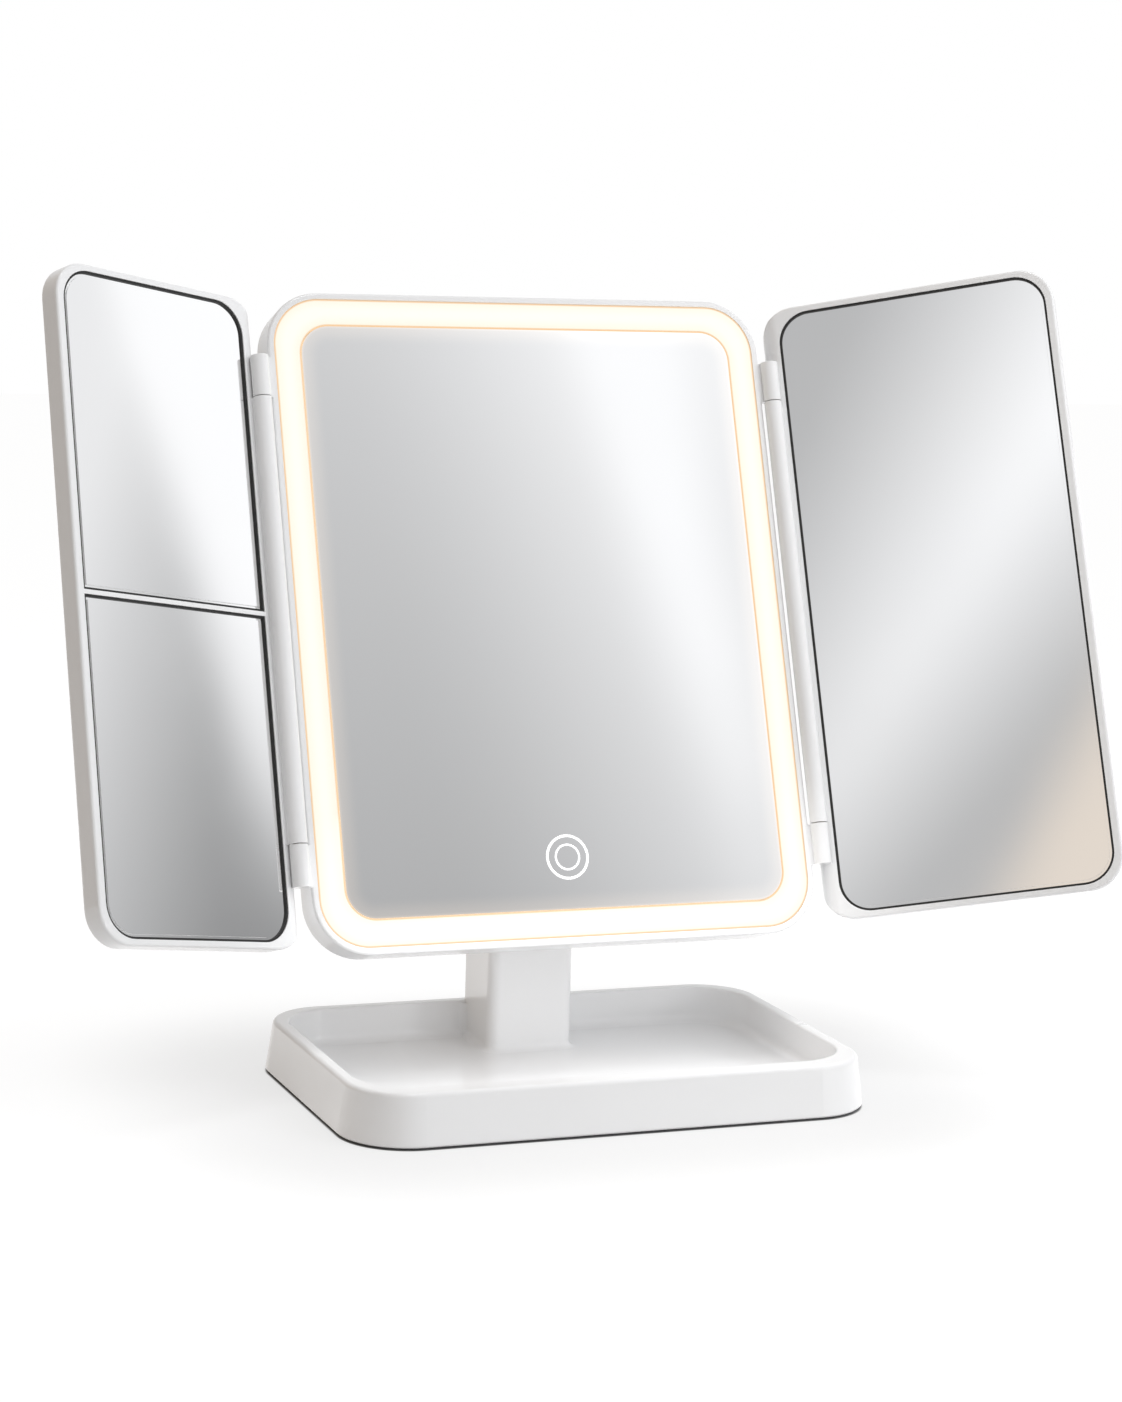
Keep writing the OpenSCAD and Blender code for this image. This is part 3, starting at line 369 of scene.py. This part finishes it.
def make_floor():
    mesh = bpy.data.meshes.new("floor")
    corners = [(x * FLOOR_HALF, y * FLOOR_HALF, 0) for x, y in ((-1, -1), (1, -1), (1, 1), (-1, 1))]
    mesh.from_pydata(corners, [], [(0, 1, 2, 3)])
    floor = bpy.data.objects.new("floor", mesh)
    bpy.context.scene.collection.objects.link(floor)
    material, s, shader = new_material("floor")
    path = s.tree.nodes.new("ShaderNodeLightPath")
    s.put(s.mix(path.outputs["Is Camera Ray"], FLOOR_PALE, FLOOR_GREY), shader.inputs["Base Color"])
    shader.inputs["Roughness"].default_value = FLOOR_ROUGHNESS
    shader.inputs["Specular IOR Level"].default_value = 0.0
    shader.inputs["Emission Color"].default_value = rgba(1.0)
    # the lift to white grows with distance from the base, which paints a soft shadow round it, and ends at
    # the base's outline, so that the rendered shadow under the base stays
    where = places(s)
    x, y = s.dot(where, (1.0, 0.0, 0.0)), s.dot(where, (0.0, 1.0, 0.0))
    depth = outline_depth(s, x, y, FOOT_W / 2, FOOT_D / 2, FOOT_R)
    outside = s.smooth(depth, *LIFT_STARTS)
    # painted shadow: the lift is smaller next to the base and grows outward, darkening the floor round it
    lift_with_painted_shadow = s.add(s.mul(s.smooth(depth, *PAINTED_SHADOW_SPAN), FLOOR_FAR_LIFT - FLOOR_LIFT_IN_PAINTED_SHADOW), FLOOR_LIFT_IN_PAINTED_SHADOW)
    shown = s.high(path.outputs["Is Glossy Ray"], path.outputs["Is Transmission Ray"])
    seen = s.high(path.outputs["Is Camera Ray"], shown)
    s.put(s.mul(seen, s.mul(lift_with_painted_shadow, outside)), shader.inputs["Emission Strength"])
    mesh.materials.append(material)


# ---------- materials ----------

TRAY_EDGE = 0.7 * MM                                             # radius that the tray's edges shade to
EDGE_SAMPLES = 4
SKIN = 0.2 * MM                                                  # height of a skin's grain, at strength 1
FINE_SKIN = 0.1 * MM
DRIFT_SCALE = 28.0                                               # of the faint drift in a plastic's colour
GLOSS_SCALE, GLOSS_DRIFT = 60.0, 0.10
METAL_SCALE, METAL_DRIFT, METAL_DEPTH = 400.0, 0.15, 0.05
COAT_ROUGHNESS = 0.08

WHITE, WHITE_DRIFT = (0.865, 0.867, 0.872), (0.885, 0.887, 0.891)
WHITE_ROUGHNESS, WHITE_COAT = 0.30, 0.5

BAND_CORE, BAND_CORE_DRIFT = (1.0, 0.995, 0.925), (1.0, 1.0, 0.945)
BAND_HAZE = (1.0, 0.940, 0.800)
BAND_LINE = (0.860, 0.580, 0.340)
BAND_BASE, LINE_BASE = (0.20, 0.19, 0.16), (0.18, 0.13, 0.08)
BAND_STRENGTH = 0.82
BAND_ROUGHNESS = 0.45
BAND_DRIFT_SCALE = 90.0
BAND_GRAIN, BAND_DEPTH = 2500.0, 0.02
OUTER_LINE = (0.9 * MM, 0.3 * MM)                                # inside the band's outer border
INNER_LINE = (0.8 * MM, 0.2 * MM)                                # outside its inner border
HAZE_W = 4.5 * MM

SILVER_SCALE = 14.0
SILVER_DRIFT = (MIRROR_TINT * 0.985, MIRROR_TINT * 0.99, MIRROR_TINT)
GLASS_ROUGHNESS = 0.035
GLASS_SCALE, GLASS_DRIFT = 30.0, 0.03
GROUND_FROM = (0.99, 0.95)                                       # how far a ground edge turns from the front
GROUND_GLASS = (0.93, 0.94, 0.94)
GROUND_ROUGHNESS = 0.35                                          # added to the glass's
GROUND_LOSS = 0.8                                                # of the silver's shine
# painted glow of the band's light on the centre mirror: its colour, and the width and strength of a thin
# line and a wider haze
PAINTED_BAND_GLOW = (1.0, 0.78, 0.55)
PAINTED_GLOW_LINE_W, PAINTED_GLOW_LINE = 1.2 * MM, 0.12
PAINTED_GLOW_HAZE_W, PAINTED_GLOW_HAZE = 7.0 * MM, 0.10


def new_material(name):
    material = bpy.data.materials.new(name)
    material.use_nodes = True
    tree = material.node_tree
    shader = next(n for n in tree.nodes if n.type == "BSDF_PRINCIPLED")
    return material, Sums(tree), shader


def places(s):
    return s.tree.nodes.new("ShaderNodeTexCoord").outputs["Object"]


def bump(s, shader, height, strength, distance, edge=0.0):
    """A fine skin, over moulded edges softened to the radius edge"""
    node = s.tree.nodes.new("ShaderNodeBump")
    node.inputs["Strength"].default_value = strength
    node.inputs["Distance"].default_value = distance
    s.put(height, node.inputs["Height"])
    if edge:
        soft = s.tree.nodes.new("ShaderNodeBevel")
        soft.samples = EDGE_SAMPLES
        soft.inputs["Radius"].default_value = edge
        s.tree.links.new(soft.outputs[0], node.inputs["Normal"])
    s.tree.links.new(node.outputs[0], shader.inputs["Normal"])


def moulded(name, colour, other, roughness, grain=900.0, depth=0.02, coat=0.0, edge=0.0):
    """Moulded plastic or rubber: faint colour drift, uneven gloss and a fine skin"""
    material, s, shader = new_material(name)
    where = places(s)
    drift = s.noise(DRIFT_SCALE, detail=3.0, where=where)
    gloss = s.mul(s.noise(GLOSS_SCALE, detail=4.0, where=where), GLOSS_DRIFT)
    s.put(s.mix(drift, colour, other), shader.inputs["Base Color"])
    s.put(s.add(gloss, roughness - GLOSS_DRIFT / 2), shader.inputs["Roughness"])
    if coat:
        shader.inputs["Coat Weight"].default_value = coat
        shader.inputs["Coat Roughness"].default_value = COAT_ROUGHNESS
    bump(s, shader, s.noise(grain, detail=5.0, where=where), depth, SKIN, edge)
    return material


def metal(name, colour, other, roughness, grain=1500.0):
    """Plated or rolled metal with an uneven gloss"""
    material, s, shader = new_material(name)
    where = places(s)
    drift = s.noise(METAL_SCALE, detail=4.0, where=where)
    skin = s.noise(grain, detail=3.0, where=where)
    s.put(s.mix(drift, colour, other), shader.inputs["Base Color"])
    shader.inputs["Metallic"].default_value = 1.0
    s.put(s.add(s.mul(skin, METAL_DRIFT), roughness), shader.inputs["Roughness"])
    bump(s, shader, skin, METAL_DEPTH, FINE_SKIN)
    return material


def panel_place(s):
    """Place on the panel: across from its middle, and up"""
    where = s.shift(places(s), tuple(PANEL_MIDDLE))
    return s.dot(where, tuple(RIGHT)), s.dot(where, tuple(UP))


def panel_depth(s, u, v, inset, radius):
    """Distance inside the panel's outline drawn in by inset"""
    return outline_depth(s, u, v, PANEL_W / 2 - inset, PANEL_H / 2 - inset, radius)


def light_band():
    """Frosted band, warm white with an amber line along both borders"""
    material, s, shader = new_material("light_band")
    u, v = panel_place(s)
    outer = panel_depth(s, u, v, BEZEL, BAND_OUTER_R)
    inner = s.mul(panel_depth(s, u, v, BEZEL + BAND, BAND_INNER_R), -1.0)
    line = s.high(s.smooth(outer, *OUTER_LINE), s.smooth(inner, *INNER_LINE))
    haze = s.high(s.smooth(outer, HAZE_W, 0.0), s.smooth(inner, HAZE_W, 0.0))
    core = s.mix(s.noise(BAND_DRIFT_SCALE), BAND_CORE, BAND_CORE_DRIFT)
    glow = s.mix(line, s.mix(haze, core, BAND_HAZE), BAND_LINE)
    s.put(s.mix(line, BAND_BASE, LINE_BASE), shader.inputs["Base Color"])
    s.put(glow, shader.inputs["Emission Color"])
    shader.inputs["Emission Strength"].default_value = BAND_STRENGTH
    shader.inputs["Roughness"].default_value = BAND_ROUGHNESS
    bump(s, shader, s.noise(BAND_GRAIN, detail=3.0), BAND_DEPTH, FINE_SKIN)
    return material


def mirror_glass(name, front, lit=False):
    """Silvered glass that faces front: faint haze, ground edges, and, when lit is set, a painted glow along
    the border by the band
    """
    material, s, shader = new_material(name)
    where = places(s)
    facing = s.dot(s.tree.nodes.new("ShaderNodeTexCoord").outputs["Normal"], tuple(front))
    ground = s.smooth(facing, *GROUND_FROM)
    silver = s.mix(s.noise(SILVER_SCALE, detail=3.0, where=where), MIRROR_TINT, SILVER_DRIFT)
    haze = s.mul(s.noise(GLASS_SCALE, detail=4.0, where=where), GLASS_DRIFT)
    s.put(s.mix(ground, silver, GROUND_GLASS), shader.inputs["Base Color"])
    s.put(s.sub(1.0, s.mul(ground, GROUND_LOSS)), shader.inputs["Metallic"])
    s.put(s.add(haze, s.mul(ground, GROUND_ROUGHNESS), GLASS_ROUGHNESS), shader.inputs["Roughness"])
    if lit:
        # painted glow: the glass emits a warm line and haze inside the band's inner border, standing in for
        # the band's light
        u, v = panel_place(s)
        inner = panel_depth(s, u, v, BEZEL + BAND, BAND_INNER_R)
        line = s.mul(s.smooth(inner, PAINTED_GLOW_LINE_W, 0.0), PAINTED_GLOW_LINE)
        border = s.mul(s.smooth(inner, PAINTED_GLOW_HAZE_W, 0.0), PAINTED_GLOW_HAZE)
        shader.inputs["Emission Color"].default_value = rgba(PAINTED_BAND_GLOW)
        s.put(s.add(line, border), shader.inputs["Emission Strength"])
    return material


def make_materials():
    return {
        "white": moulded("white_plastic", WHITE, WHITE_DRIFT, WHITE_ROUGHNESS, coat=WHITE_COAT),
        "white_tray": moulded("white_tray_plastic", WHITE, WHITE_DRIFT, WHITE_ROUGHNESS, coat=WHITE_COAT,
                              edge=TRAY_EDGE),
        "white_back": moulded("white_back_plastic", (0.85, 0.852, 0.855), (0.875, 0.877, 0.88), 0.46,
                              grain=700.0, depth=0.08),
        "left_mirror": mirror_glass("left_mirror_glass", LEFT_FRONT),
        "right_mirror": mirror_glass("right_mirror_glass", RIGHT_FRONT),
        "lit_mirror": mirror_glass("mirror_glass_painted_glow", OUT, lit=True),
        "band": light_band(),
        "seal": moulded("black_seal", (0.005, 0.005, 0.005), (0.012, 0.012, 0.012), 0.6),
        "rubber": moulded("foot_rubber", (0.03, 0.03, 0.03), (0.05, 0.05, 0.05), 0.75,
                          grain=500.0, depth=0.2),
        "foam": moulded("foam_tape", (0.04, 0.04, 0.04), (0.07, 0.07, 0.07), 0.9,
                        grain=600.0, depth=0.3),
        "black": moulded("black_plastic", (0.03, 0.03, 0.03), (0.05, 0.05, 0.05), 0.5),
        "ivory": moulded("ivory_plastic", (0.80, 0.77, 0.67), (0.84, 0.81, 0.72), 0.45),
        "board": moulded("board", (0.70, 0.71, 0.67), (0.78, 0.79, 0.75), 0.5),
        "mark": moulded("touch_mark", (0.93, 0.93, 0.93), (0.97, 0.97, 0.97), 0.5),
        "steel": metal("plated_steel", (0.60, 0.60, 0.61), (0.68, 0.68, 0.69), 0.26),
        "foil": metal("copper_foil", (0.75, 0.42, 0.27), (0.82, 0.50, 0.33), 0.30),
    }


WEARS = {
    "white": ("centre_frame", "left_wing_frame", "right_wing_frame", "tilt_bracket", "hinge_caps",
              "battery_door", "light_tray"),
    "white_tray": ("base_tray",),
    "white_back": ("rear_cover", "left_wing_back", "right_wing_back", "base_bottom_plate"),
    "left_mirror": ("left_upper_mirror", "left_lower_mirror"),
    "right_mirror": ("right_mirror",),
    "lit_mirror": ("centre_mirror",),
    "band": ("light_diffuser", "leds"),
    "seal": ("left_mirror_seals", "right_mirror_seal"),
    "rubber": ("rubber_foot_ring",),
    "foam": ("left_mirror_tape", "right_mirror_tape"),
    "black": ("battery_cassette", "friction_washers"),
    "ivory": ("tilt_bushing", "left_hinge_bushings", "right_hinge_bushings"),
    "board": ("power_board", "led_strip", "control_board"),
    "mark": ("touch_mark",),
    "steel": ("ballast_plate", "base_screws", "battery_cells", "battery_contacts", "power_inlet",
              "bracket_screws", "tilt_bolt", "tilt_nut", "rear_cover_screws", "touch_spring",
              "wing_hinge_pins", "left_wing_screws", "right_wing_screws"),
    "foil": ("touch_pad",),
}


def dress_nodes(materials):
    for key, nodes in WEARS.items():
        for node in nodes:
            for slot in frame["nodes"][node].material_slots:
                slot.material = materials[key]


bpy.context.scene.view_settings.view_transform = "Standard"
camera_place = make_camera()
make_room(camera_place)
make_lamps()
make_floor()
dress_nodes(make_materials())
